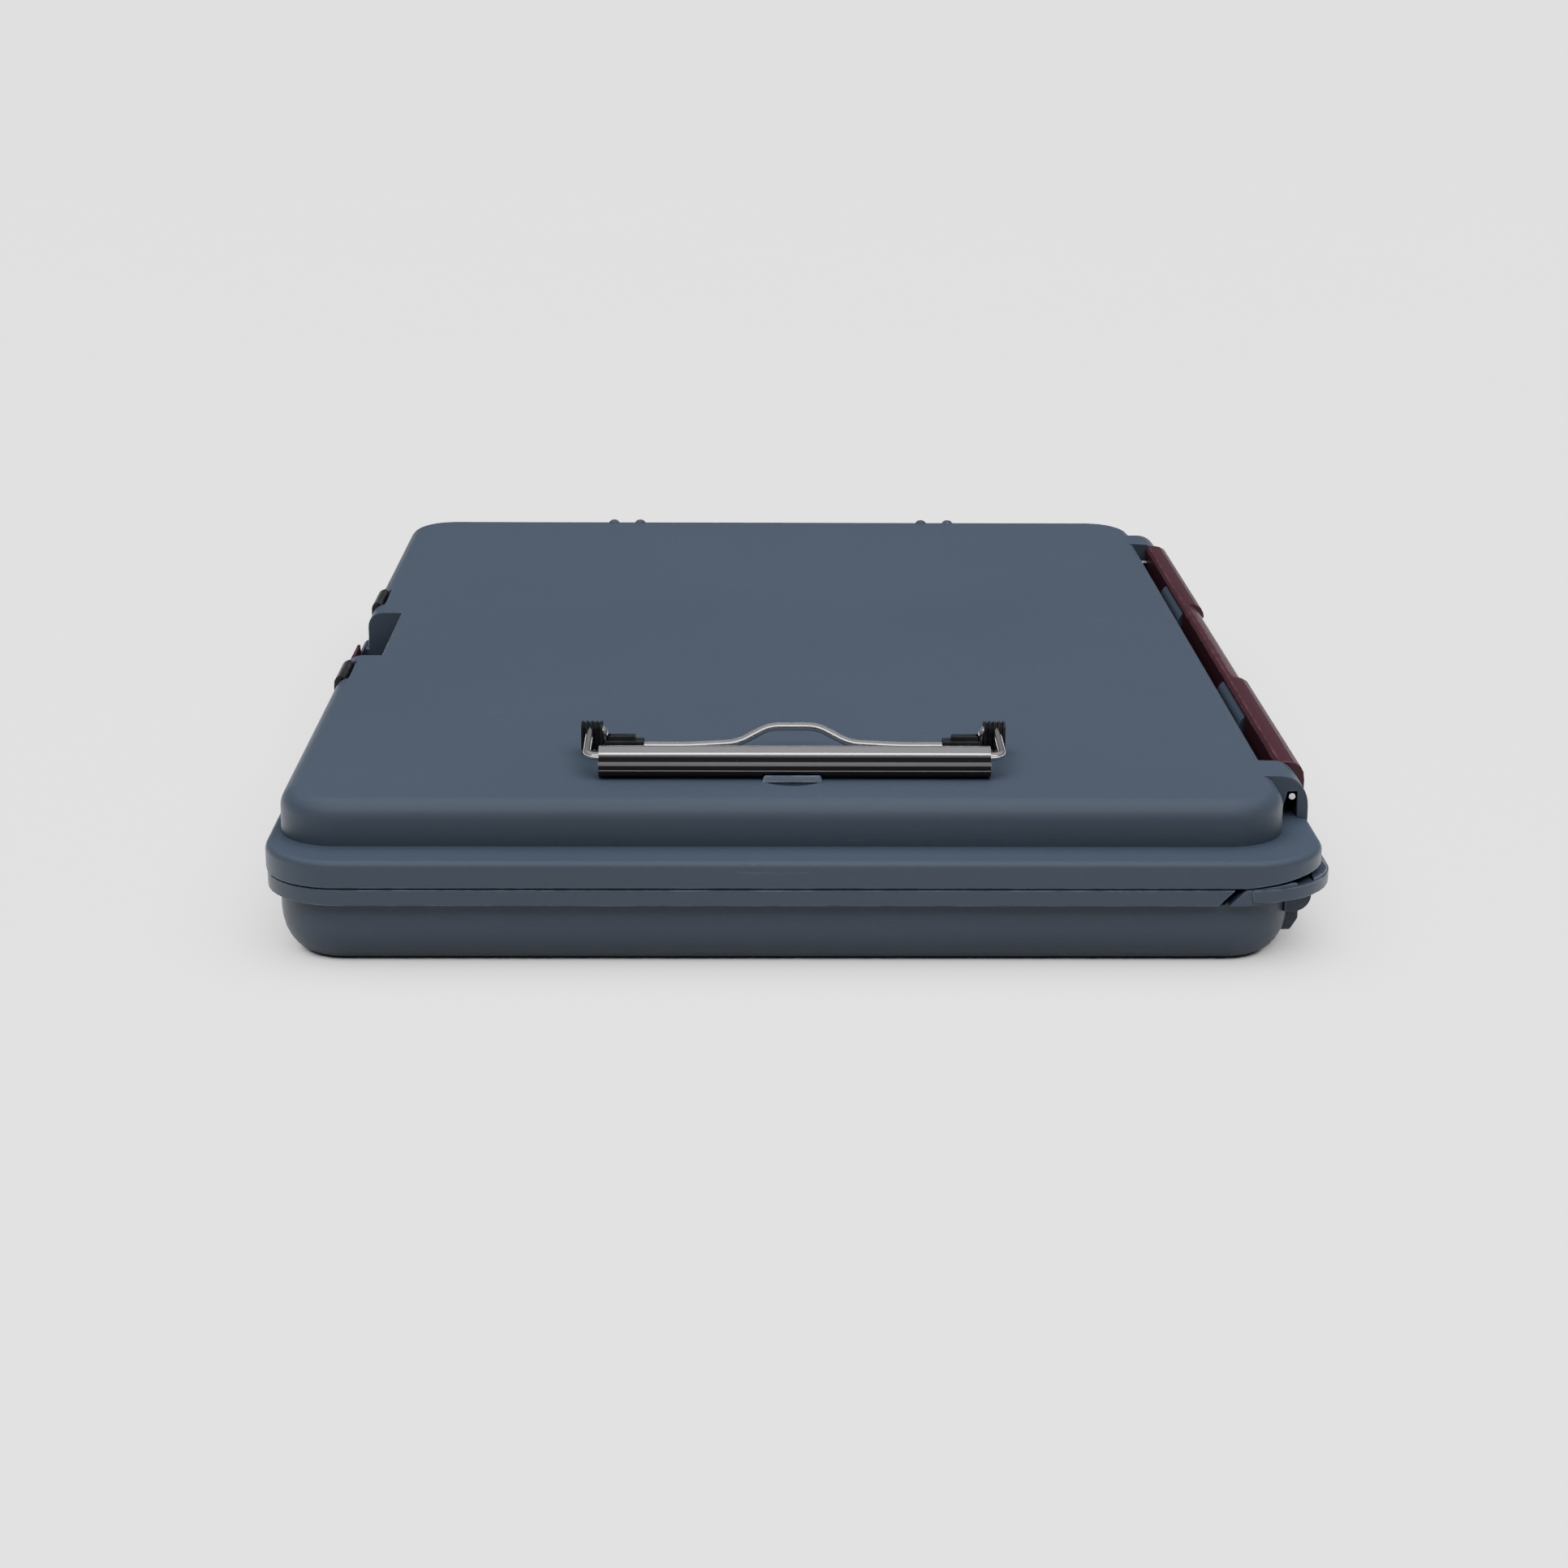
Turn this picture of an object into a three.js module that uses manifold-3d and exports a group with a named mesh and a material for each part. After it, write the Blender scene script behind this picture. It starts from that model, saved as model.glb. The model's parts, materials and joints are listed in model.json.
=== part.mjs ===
// A storage clipboard: a base tray, an inner tray and a lid share one hinge line along the right
// edge, two swing latches hold the left edge, and a wire clip on the lid holds the paper.
// Millimetres, +Z up, +X to the hinge side, +Y away from the clip. The origin is the middle of the
// bounding box, on the surface the clipboard lies on.
import * as THREE from 'three';
import { mergeVertices } from 'three/addons/utils/BufferGeometryUtils.js';
import Module from 'manifold-3d';

const wasm = await Module();
wasm.setup();

// ---- driving dimensions -------------------------------------------------------------------
const GAP = 0.3;                 // play between pieces that touch
const WALL = 2.2;                // moulded wall of the base and the lid
const THIN_WALL = 1.8;           // moulded wall of the inner tray
const EPS = 0.5;                 // how far a cutter runs past the face it cuts
const CORNER_STEPS = 5;          // half the steps round each plan corner

const LENGTH = 349;              // base and lid rims, front to back
const OUTER = 127.9;             // half the whole width: the pull tab to the hinge-side ribbon
const RIM_LEFT = -127.7;
const RIM_RIGHT = 125.6;
const RIM_RADIUS = 19;           // plan radius of the rims' corners

const BASE_TOP = 20.2;           // the base's band, where the lid closes on it
const BAND_BOTTOM = 16.2;
const TUB_INSET = 3;             // tub wall behind the band
const TUB_RIGHT = 118;
const TUB_EDGE = 8;              // how far the tub's bottom edge rounds in
const TUB_EDGE_RISE = 11;        // and how high that rounding starts
const BAND_RIGHT = 122.4;
const RIBBON_BOTTOM = 17;
const TIER_BOTTOM = 11.2;        // deeper band along the hinge side
const TIER_HALF = 164;
const RAIL_RIGHT = 120.6;        // stiffening rail low on the hinge side
const RAIL_Z = [4.6, 10.4];
const RAIL_HALF = 158;
const SLIT_WIDTH = 2.4;          // slanting relief slit near the front hinge corner

const LID_BOTTOM = BASE_TOP + GAP;
const RELIEF_BOTTOM = 22.1;      // the lid's lower edge rises to this beyond the hinge line
const RELIEF_START = 105;
const RIM_STEP = 0.7;            // how far the base's rim rises under that edge
const RIM_STEP_LEFT = 121.9;
const LEDGE_TOP = 27;            // the ledge round the lid's raised top
const LID_TOP = 38;
const LEDGE_FRONT = 12.3;
const TOP_LEFT = -125;
const TOP_RIGHT = 117.3;
const TOP_RADIUS = 15;
const SHOULDER = 4.6;            // rounding of the raised top's edge

const HINGE_X = 121.2;
const HINGE_Z = 32.5;
const PIN_RADIUS = 0.8;
const BORE_RADIUS = 1.15;
const EAR_INNER = 126;           // the lid's hinge ears, from the middle
const EAR_OUTER = 139.5;
const EAR_RIGHT = 125.3;
const EAR_ROUND = [6.9, 8];      // how far the ear's top rounds, across and down
const SLOT_DEPTH = 8;            // open slot in each ear's outer face, where the pin shows
const WALL_BY_SPINE = 115.3;     // the lid's wall between the ears
const SPINE_HALF = 125.4;
const SPINE_LEFT = 119.4;
const SPINE_RIGHT = 126.8;
const SPINE_BOTTOM = 22.6;
const GRIP_HALF = 43;            // shallow grip scooped from the spine
const KNUCKLE_Y = 58;
const KNUCKLE_LENGTH = 36.5;
const KNUCKLE_RADIUS = 3.2;
const ARM_LEFT = 118;
const ARM_RIGHT = 121;
const PIN_LEG_Y = 121.5;         // the lid pins' bent legs, from the middle
const PIN_LEG_END = 116.5;

const PLATE_Z = [20.5, 22.3];    // the inner tray's floor and flange
const PLATE_LEFT = -123.4;
const PLATE_HALF = 170;
const PLATE_RADIUS = 15;
const PLATE_RIGHT = 114.8;
const DISH_X = [-112.2, 107.9];  // the inner tray's wall, clear of the lid's edge as it swings
const DISH_HALF = 156;
const DISH_RADIUS = 10;
const DISH_TOP = 33.4;
const WEB_LEFT = 111.8;          // where the lid's wall rises over the inner tray's web

const LATCH_MID_Y = 4.8;         // the latches stand about this line
const LATCH_OFFSET = 43.2;
const LATCH_LENGTH = 17.6;
const LATCH_TOP = 38.4;
const LATCH_OUTSIDE = -125.3;
const LATCH_INSIDE = -123;
const LATCH_HOOK_TIP = -122;
const LATCH_PIVOT = [-124.5, 17.8];
const LATCH_BOSS = 1.7;          // radius of the latch round its pivot
const POCKET_HALF = 9.6;
const POCKET_RIGHT = -121.2;
const NOTCH_Y = [-23.2, 27.8];   // finger notch
const NOTCH_LEFT = -125.9;       // the rim runs on outside the notch as a thin lip
const NOTCH_RIGHT = -114.9;
const TAB_RIGHT = -126.9;        // pull tab of the inner tray, outside that lip
const TAB_TOP = 29;
const TAB_Y = [-19, 24.5];

const CLIP_X = -0.9;
const CLIP_LENGTH = 95.2;
const ROLL_Y = -140.6;
const ROLL_Z = 43;
const CLIP_FRONT = -143.6;
const CLIP_REAR = -136.2;
const SHEET = 0.7;
const WIRE_RADIUS = 1.05;
const BAR_Y = -120.6;
const BAR_Z = 39.8;
const WIRE_HALF = 50.6;          // wire arms, from the clip's middle
const BOOT_INNER = WIRE_HALF - 3.1;
const BOOT_OUTER = WIRE_HALF + 2.2;
const BUMPS_X = [-57, -48.2, 47, 56];
const TONGUE_X = CLIP_X - 0.6;
const TONGUE_HALF = 7.4;
const TONGUE_DEPTH = 1.9;
const TONGUE_HEIGHT = 1.4;
const CRESCENT_RADIUS = 8.6;
const CRESCENT_DEPTH = 2.4;
const CRESCENT_SINK = 1.1;

// ---- finishes ------------------------------------------------------------------------------
const finish = (color, roughness, metalness) =>
  new THREE.MeshStandardMaterial({ color, roughness, metalness });
const greyPlastic = finish(0x535b69, 0.55, 0);
const maroonPlastic = finish(0x48333b, 0.5, 0);
const blackPlastic = finish(0x2d2e34, 0.5, 0);
const blackRubber = finish(0x141517, 0.8, 0);
const steel = finish(0xb9b6b2, 0.25, 1);

// ---- solids --------------------------------------------------------------------------------
const DRAWN = new THREE.Matrix4();
const ALONG_X = new THREE.Matrix4().makeBasis(
  new THREE.Vector3(0, 1, 0), new THREE.Vector3(0, 0, 1), new THREE.Vector3(1, 0, 0));
const ALONG_Y = new THREE.Matrix4().makeBasis(
  new THREE.Vector3(1, 0, 0), new THREE.Vector3(0, 0, 1), new THREE.Vector3(0, -1, 0));

function solid(geometry, matrix = DRAWN) {
  const bare = geometry.clone();
  bare.deleteAttribute('normal');
  bare.deleteAttribute('uv');
  bare.applyMatrix4(matrix);
  const merged = mergeVertices(bare, 1e-4);
  const index = merged.index.array;
  const place = merged.attributes.position.array;
  const triangles = [];
  for (let i = 0; i < index.length; i += 3) {
    const [a, b, c] = [index[i], index[i + 1], index[i + 2]];
    if (a !== b && b !== c && c !== a) triangles.push(a, b, c);
  }
  return new wasm.Manifold(new wasm.Mesh({
    numProp: 3, vertProperties: Float32Array.from(place), triVerts: Uint32Array.from(triangles),
  }));
}

function box(x0, x1, y0, y1, z0, z1) {
  const geometry = new THREE.BoxGeometry(x1 - x0, y1 - y0, z1 - z0);
  geometry.translate((x0 + x1) / 2, (y0 + y1) / 2, (z0 + z1) / 2);
  return solid(geometry);
}

// A rounded rectangle as a flat outline.
function outline(x0, x1, y0, y1, radius) {
  const shape = new THREE.Shape();
  const quarter = Math.PI / 2;
  shape.absarc(x1 - radius, y1 - radius, radius, 0, quarter);
  shape.absarc(x0 + radius, y1 - radius, radius, quarter, 2 * quarter);
  shape.absarc(x0 + radius, y0 + radius, radius, 2 * quarter, 3 * quarter);
  shape.absarc(x1 - radius, y0 + radius, radius, 3 * quarter, 4 * quarter);
  shape.closePath();
  return shape;
}

// A slab with rounded corners from z0 to z1, sharp at its top and bottom edges.
function slab([x0, x1, y0, y1, radius], z0, z1) {
  const options = { depth: z1 - z0, bevelEnabled: false, curveSegments: CORNER_STEPS };
  const geometry = new THREE.ExtrudeGeometry(outline(x0, x1, y0, y1, radius), options);
  return solid(geometry.translate(0, 0, z0));
}

// A plan drawn smaller all round.
function inset([x0, x1, y0, y1, radius], by) {
  return [x0 + by, x1 - by, y0 + by, y1 - by, radius - by];
}

// A slab with its top edge rounded, or its bottom edge, in by edge and over a height of rise.
function roundedSlab(plan, z0, z1, { edge, rise = edge, atTop = true, segments }) {
  const [x0, x1, y0, y1, radius] = plan;
  const geometry = new THREE.ExtrudeGeometry(outline(x0, x1, y0, y1, radius), {
    depth: z1 - z0, bevelEnabled: true, bevelThickness: rise, bevelSize: edge, bevelOffset: -edge,
    bevelSegments: segments, curveSegments: CORNER_STEPS,
  });
  geometry.translate(0, 0, atTop ? z0 - rise : z0 + rise);
  return solid(geometry).intersect(box(x0 - 1, x1 + 1, y0 - 1, y1 + 1, z0, z1));
}

const cylinderAlongY = (x, z, radius, y0, y1, sides = 16) => {
  const geometry = new THREE.CylinderGeometry(radius, radius, y1 - y0, sides);
  return solid(geometry.translate(x, (y0 + y1) / 2, z));
};

// A profile drawn as [x, z] points, pulled along Y.
function profileAlongY(points, y0, y1) {
  const shape = new THREE.Shape(points.map(([x, z]) => new THREE.Vector2(x, z)));
  const geometry = new THREE.ExtrudeGeometry(shape, { depth: y1 - y0, bevelEnabled: false });
  return solid(geometry.translate(0, 0, -y1), ALONG_Y);
}

// A profile drawn as [y, z] points, pulled along X.
function profileAlongX(points, x0, x1) {
  const shape = new THREE.Shape(points.map(([y, z]) => new THREE.Vector2(y, z)));
  const geometry = new THREE.ExtrudeGeometry(shape, { depth: x1 - x0, bevelEnabled: false });
  return solid(geometry.translate(0, 0, x0), ALONG_X);
}

function ellipseArc(cx, cy, rx, ry, from, to, steps) {
  const points = [];
  for (let i = 0; i <= steps; i++) {
    const angle = THREE.MathUtils.degToRad(from + (to - from) * i / steps);
    points.push([cx + rx * Math.cos(angle), cy + ry * Math.sin(angle)]);
  }
  return points;
}

const arc = (cx, cy, radius, ...sweep) => ellipseArc(cx, cy, radius, radius, ...sweep);

const join = (first, ...rest) => rest.reduce((sum, piece) => sum.add(piece), first);
const cut = (first, ...rest) => rest.reduce((sum, piece) => sum.subtract(piece), first);
const bothEnds = (make) => [-1, 1].map((end) => make(end));
const latchY = (end) => LATCH_MID_Y + end * LATCH_OFFSET;
const span = (end, near, far) => (end < 0 ? [-far, -near] : [near, far]);

// ---- base ----------------------------------------------------------------------------------
const halfLength = LENGTH / 2;
const tubHalf = halfLength - TUB_INSET;
const tubLeft = RIM_LEFT + TUB_INSET + 0.3;

function makeBase() {
  const tubRadius = RIM_RADIUS - TUB_INSET;
  const tub = [tubLeft, TUB_RIGHT, -tubHalf, tubHalf, tubRadius];
  const band = [RIM_LEFT + 0.3, BAND_RIGHT, -halfLength, halfLength, RIM_RADIUS];
  const ribbon = [0, OUTER, -halfLength, halfLength, RIM_RADIUS + 2];
  const hollow = [tubLeft + WALL, TUB_RIGHT - WALL, -tubHalf + WALL, tubHalf - WALL, tubRadius - WALL];
  const ribbonStart = OUTER - RIM_RADIUS - 2.5;
  const tier = [
    [TUB_RIGHT - 2, TIER_BOTTOM],
    ...ellipseArc(TUB_RIGHT, TIER_BOTTOM + 4.2, BAND_RIGHT - TUB_RIGHT, 4.2, 280, 360, 6),
    [BAND_RIGHT, BASE_TOP - 1], [TUB_RIGHT - 2, BASE_TOP - 1],
  ];
  const rail = [
    [TUB_RIGHT - WALL, RAIL_Z[0]], [TUB_RIGHT + 0.8, RAIL_Z[0]], [RAIL_RIGHT - 0.8, RAIL_Z[0] + 1.6],
    [RAIL_RIGHT, RAIL_Z[0] + 3], [RAIL_RIGHT, RAIL_Z[1]], [TUB_RIGHT - WALL, RAIL_Z[1]],
  ];
  // Under the lid's raised lower edge at the hinge side, the rim rises a little to close the gap.
  const closing = cut(
    profileAlongY([
      [RELIEF_START, BASE_TOP - 1], [RELIEF_START, BASE_TOP], [RIM_STEP_LEFT - 5.4, BASE_TOP + 1],
      [RIM_STEP_LEFT - 2.4, BASE_TOP + RIM_STEP], [OUTER - 1.3, BASE_TOP + RIM_STEP],
      [OUTER - 0.4, BASE_TOP], [OUTER - 0.4, BASE_TOP - 1],
    ], -halfLength, halfLength).intersect(slab(inset(ribbon, 0.4), 0, LID_TOP)),
    box(0, RIM_STEP_LEFT, -PLATE_HALF - 1, PLATE_HALF + 1, 0, LID_TOP),
  );
  let base = join(
    closing,
    roundedSlab(tub, 0, BASE_TOP - 1, { edge: TUB_EDGE, rise: TUB_EDGE_RISE, atTop: false, segments: 7 }),
    slab(band, BAND_BOTTOM, BASE_TOP),
    profileAlongY(tier, -TIER_HALF, TIER_HALF),
    slab(ribbon, RIBBON_BOTTOM, BASE_TOP)
      .intersect(box(ribbonStart, OUTER + EPS, -halfLength - EPS, halfLength + EPS, 0, BASE_TOP + EPS)),
    profileAlongY(rail, -RAIL_HALF, RAIL_HALF),
    ...bothEnds((end) => pocketWall(latchY(end), BASE_TOP)),
  );
  const inside = roundedSlab(hollow, WALL, BASE_TOP + EPS,
    { edge: TUB_EDGE - WALL, rise: TUB_EDGE_RISE - WALL, atTop: false, segments: 5 });
  const pocketWalls = bothEnds((end) => pocketWall(latchY(end), BASE_TOP + 2 * EPS));
  base = cut(base, cut(inside, ...pocketWalls), reliefSlit(ribbonStart - 3.4));
  for (const end of [-1, 1]) {
    base = addKnuckle(cutLatchPocket(base, latchY(end)), end * KNUCKLE_Y);
  }
  return base;
}

// The tub's wall is thicker behind each latch pocket.
const pocketWall = (y, top) => box(tubLeft + 1, tubLeft + 4.2, y - POCKET_HALF - 2, y + POCKET_HALF + 2,
  8, top);

// The slanting slit near the front hinge corner, through the band and the tub wall.
function reliefSlit(x) {
  const lean = 5;
  return profileAlongY([
    [x - lean, BAND_BOTTOM - EPS], [x - lean + SLIT_WIDTH, BAND_BOTTOM - EPS],
    [x + SLIT_WIDTH, BASE_TOP + EPS], [x, BASE_TOP + EPS],
  ], -halfLength - EPS, -tubHalf + WALL + EPS);
}

function cutLatchPocket(base, y) {
  const pocket = box(RIM_LEFT - EPS, tubLeft + 2, y - POCKET_HALF, y + POCKET_HALF,
    LATCH_PIVOT[1] - LATCH_BOSS - 1.2, BASE_TOP + EPS);
  const bore = cylinderAlongY(...LATCH_PIVOT, PIN_RADIUS + GAP, y - POCKET_HALF - 4, y + POCKET_HALF + 4, 12);
  return cut(base, pocket, bore);
}

function addKnuckle(base, y) {
  const y0 = y - KNUCKLE_LENGTH / 2;
  const y1 = y + KNUCKLE_LENGTH / 2;
  const knuckle = join(
    base,
    box(ARM_LEFT, ARM_RIGHT, y0, y1, BASE_TOP - 1, HINGE_Z),
    cylinderAlongY(HINGE_X, HINGE_Z, KNUCKLE_RADIUS, y0, y1, 24),
  );
  return knuckle.subtract(cylinderAlongY(HINGE_X, HINGE_Z, BORE_RADIUS, y0 - EPS, y1 + EPS, 12));
}

// ---- inner tray -----------------------------------------------------------------------------
// The spine's section. Along the grip its outer top edge is scooped in by dip.
function spineProfile(dip) {
  return [
    [SPINE_LEFT, SPINE_BOTTOM], [SPINE_RIGHT - 1.6, SPINE_BOTTOM], [SPINE_RIGHT - 0.4, 23.6],
    [SPINE_RIGHT, 26], [SPINE_RIGHT - dip, 32.5], [SPINE_RIGHT - 0.3 - 2 * dip, 34.6],
    [SPINE_RIGHT - 1.2 - 2.6 * dip, 36.2], [SPINE_RIGHT - 2.8 - 2.2 * dip, 37.1 - 0.2 * dip],
    [122.2 - dip, 37.4], [120.3, 37.3], [SPINE_LEFT, 36.4],
  ];
}

function makeInnerTray() {
  const floor = slab([PLATE_LEFT, PLATE_RIGHT, -PLATE_HALF, PLATE_HALF, PLATE_RADIUS], ...PLATE_Z);
  const dish = [...DISH_X, -DISH_HALF, DISH_HALF, DISH_RADIUS];
  const ring = (by, z0, z1) => slab(inset(dish, by), z0, z1);
  const wall = ring(0, PLATE_Z[0] + 1, DISH_TOP).subtract(ring(THIN_WALL, PLATE_Z[1], DISH_TOP + EPS));
  const web = box(DISH_X[1], SPINE_LEFT + 2, -SPINE_HALF, SPINE_HALF, ...PLATE_Z);
  const spine = join(
    profileAlongY(spineProfile(0), -SPINE_HALF, -GRIP_HALF),
    profileAlongY(spineProfile(0.7), -GRIP_HALF, GRIP_HALF),
    profileAlongY(spineProfile(0), GRIP_HALF, SPINE_HALF),
    box(SPINE_LEFT, SPINE_LEFT + 2, -SPINE_HALF, SPINE_HALF, PLATE_Z[0], SPINE_BOTTOM + 0.5),
  );
  const tab = join(
    box(-OUTER, PLATE_LEFT + 1, ...TAB_Y, ...PLATE_Z),
    box(-OUTER, TAB_RIGHT, ...TAB_Y, PLATE_Z[0], TAB_TOP),
  );
  let tray = join(floor, wall, web, spine, tab);
  for (const end of [-1, 1]) {
    const y = latchY(end);
    tray = tray.subtract(box(PLATE_LEFT - 2, POCKET_RIGHT, y - POCKET_HALF - 0.4, y + POCKET_HALF + 0.4,
      0, LEDGE_TOP));
    const from = end * KNUCKLE_Y - KNUCKLE_LENGTH / 2 - 0.5;
    const to = end * KNUCKLE_Y + KNUCKLE_LENGTH / 2 + 0.5;
    tray = tray.subtract(box(ARM_LEFT - 0.6, SPINE_RIGHT + 1, from, to, 0, HINGE_Z + 0.4));
    tray = tray.subtract(cylinderAlongY(HINGE_X, HINGE_Z, KNUCKLE_RADIUS + 0.4, from, to, 20));
    tray = tray.subtract(cylinderAlongY(HINGE_X, HINGE_Z, BORE_RADIUS, from - 10, to + 10, 12));
    const [y0, y1] = span(end, SPINE_HALF - 14, SPINE_HALF + EPS);
    tray = tray.subtract(cylinderAlongY(HINGE_X, HINGE_Z, BORE_RADIUS, y0, y1, 12));
    tray = tray.subtract(box(SPINE_LEFT - EPS, HINGE_X, end * PIN_LEG_Y - BORE_RADIUS,
      end * PIN_LEG_Y + BORE_RADIUS, HINGE_Z - BORE_RADIUS, HINGE_Z + BORE_RADIUS));
  }
  return tray;
}

// ---- lid --------------------------------------------------------------------------------------
const topHalf = halfLength - LEDGE_FRONT;

function makeLid() {
  const rim = [RIM_LEFT, RIM_RIGHT, -halfLength, halfLength, RIM_RADIUS];
  const raised = [TOP_LEFT, TOP_RIGHT, -topHalf, topHalf, TOP_RADIUS];
  const earProfile = [
    [TOP_RIGHT - 6, LEDGE_TOP - 2], [EAR_RIGHT, LEDGE_TOP - 2],
    ...ellipseArc(EAR_RIGHT - EAR_ROUND[0], LID_TOP - 0.1 - EAR_ROUND[1], ...EAR_ROUND, 0, 90, 9),
    [TOP_RIGHT - 6, LID_TOP - 0.1],
  ];
  const outside = join(
    roundedSlab(rim, LID_BOTTOM, LEDGE_TOP, { edge: 1.6, segments: 4 }),
    roundedSlab(raised, LEDGE_TOP - 1, LID_TOP, { edge: SHOULDER, segments: 7 }),
    ...bothEnds((end) => profileAlongY(earProfile, ...span(end, EAR_INNER, EAR_OUTER))),
  );

  // Each latch slot and the finger notch is walled, so the hollow keeps clear of those walls.
  const beyond = RIM_LEFT - 2;
  const slots = [
    ...bothEnds((end) => [beyond, POCKET_RIGHT, latchY(end) - POCKET_HALF, latchY(end) + POCKET_HALF]),
    [NOTCH_LEFT, NOTCH_RIGHT, ...NOTCH_Y],
  ];
  const slotWalls = slots.map(([, right, y0, y1]) => box(beyond, right + WALL, y0 - WALL, y1 + WALL,
    PLATE_Z[1] + GAP, LID_TOP + 2));
  const wallBySpine = box(WALL_BY_SPINE - WALL, RIM_RIGHT + 2, -EAR_INNER - WALL, EAR_INNER + WALL,
    PLATE_Z[1] + GAP, LID_TOP + 2);
  const hollow = cut(
    join(
      slab(inset(rim, WALL), LID_BOTTOM - EPS, LEDGE_TOP - WALL),
      roundedSlab(inset(raised, WALL), LID_BOTTOM - EPS, LID_TOP - WALL,
        { edge: SHOULDER - WALL, segments: 3 }),
    ),
    ...slotWalls, wallBySpine,
  );

  // Between the ears the ledge is open for the spine, and the wall stops above the tray's web.
  return cut(
    join(outside.subtract(hollow), clipTongue(), ...farBumps()),
    crescent(),
    ...slots.map((slot) => box(...slot, 0, LID_TOP + 2)),
    box(beyond, NOTCH_LEFT + EPS, ...NOTCH_Y, LEDGE_TOP, LID_TOP + 2),
    box(beyond, NOTCH_LEFT + EPS, TAB_Y[0] - GAP, TAB_Y[1] + GAP, 0, PLATE_Z[1] + GAP),
    box(beyond, TAB_RIGHT + GAP, TAB_Y[0] - GAP, TAB_Y[1] + GAP, 0, LID_TOP),
    box(WALL_BY_SPINE, RIM_RIGHT + 2, -EAR_INNER, EAR_INNER, 0, LID_TOP + 2),
    box(WEB_LEFT, RIM_RIGHT + 2, -EAR_INNER, EAR_INNER, 0, PLATE_Z[1] + 0.8),
    profileAlongY([
      [RELIEF_START, 0], [RIM_RIGHT + 2, 0], [RIM_RIGHT + 2, RELIEF_BOTTOM + 0.4],
      [HINGE_X - 2, RELIEF_BOTTOM], [RELIEF_START, LID_BOTTOM],
    ], -halfLength - EPS, halfLength + EPS),
    ...bothEnds((end) => cylinderAlongY(HINGE_X, HINGE_Z, BORE_RADIUS,
      ...span(end, EAR_INNER - EPS, EAR_OUTER + EPS), 12)),
    ...bothEnds((end) => profileAlongY([
      [HINGE_X - 2.7, LEDGE_TOP + 0.2], [HINGE_X + 1.3, LEDGE_TOP + 0.2],
      [HINGE_X + 1.2, HINGE_Z + 1.3], [HINGE_X - 1.2, HINGE_Z + 1.3],
    ], ...span(end, EAR_OUTER - SLOT_DEPTH, EAR_OUTER + EPS))),
  );
}

// The tongue in front of the clip, which locates its plate. Its ends slope in towards the top.
function clipTongue() {
  const rear = CLIP_FRONT - 2 * GAP;
  const front = rear - TONGUE_DEPTH;
  const ramp = profileAlongX([
    [front, LID_TOP - 1], [rear, LID_TOP - 1], [rear, LID_TOP + TONGUE_HEIGHT],
    [rear - 0.7, LID_TOP + TONGUE_HEIGHT - 0.1], [front, LID_TOP + 0.1],
  ], TONGUE_X - TONGUE_HALF, TONGUE_X + TONGUE_HALF);
  return ramp.intersect(profileAlongY([
    [TONGUE_X - TONGUE_HALF, LID_TOP - 2], [TONGUE_X + TONGUE_HALF, LID_TOP - 2],
    [TONGUE_X + TONGUE_HALF, LID_TOP], [TONGUE_X + TONGUE_HALF - 0.9, LID_TOP + 2],
    [TONGUE_X - TONGUE_HALF + 0.9, LID_TOP + 2], [TONGUE_X - TONGUE_HALF, LID_TOP],
  ], front - 1, rear + 1));
}

// The crescent scooped from the lid in front of the tongue.
function crescent() {
  const front = CLIP_FRONT - 2 * GAP - TONGUE_DEPTH;
  const disc = new THREE.CylinderGeometry(CRESCENT_RADIUS, CRESCENT_RADIUS, 3, 48).rotateX(Math.PI / 2);
  const centre = front - CRESCENT_DEPTH + CRESCENT_RADIUS;
  return solid(disc.translate(TONGUE_X, centre, LID_TOP + 1.5 - CRESCENT_SINK))
    .subtract(box(-HINGE_X, HINGE_X, front, 0, 0, LID_TOP + 5));
}

// Four low bumps along the far edge, in two pairs.
function farBumps() {
  return BUMPS_X.map((x) => {
    const bump = new THREE.SphereGeometry(1.9, 12, 8);
    bump.scale(1, 1, 0.62);
    return solid(bump.translate(x, topHalf - SHOULDER + 0.4, LID_TOP - 0.2));
  });
}

// ---- hinge pins ---------------------------------------------------------------------------------
// A lid pin runs from the spine's end out through the ear. Its bent leg lies in the spine's notch.
function makeLidPin(end) {
  const rod = cylinderAlongY(HINGE_X, HINGE_Z, PIN_RADIUS, ...span(end, PIN_LEG_Y, EAR_OUTER - 0.4), 12);
  const leg = new THREE.CylinderGeometry(PIN_RADIUS, PIN_RADIUS, HINGE_X - PIN_LEG_END, 12);
  leg.rotateZ(Math.PI / 2);
  const elbow = new THREE.SphereGeometry(PIN_RADIUS, 12, 8);
  return join(
    rod,
    solid(leg.translate((HINGE_X + PIN_LEG_END) / 2, end * PIN_LEG_Y, HINGE_Z)),
    solid(elbow.translate(HINGE_X, end * PIN_LEG_Y, HINGE_Z)),
  );
}

function makeBasePin(end) {
  const reach = KNUCKLE_LENGTH / 2 + 9;
  const y = end * KNUCKLE_Y;
  return cylinderAlongY(HINGE_X, HINGE_Z, PIN_RADIUS, y - reach, y + reach, 10);
}

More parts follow.
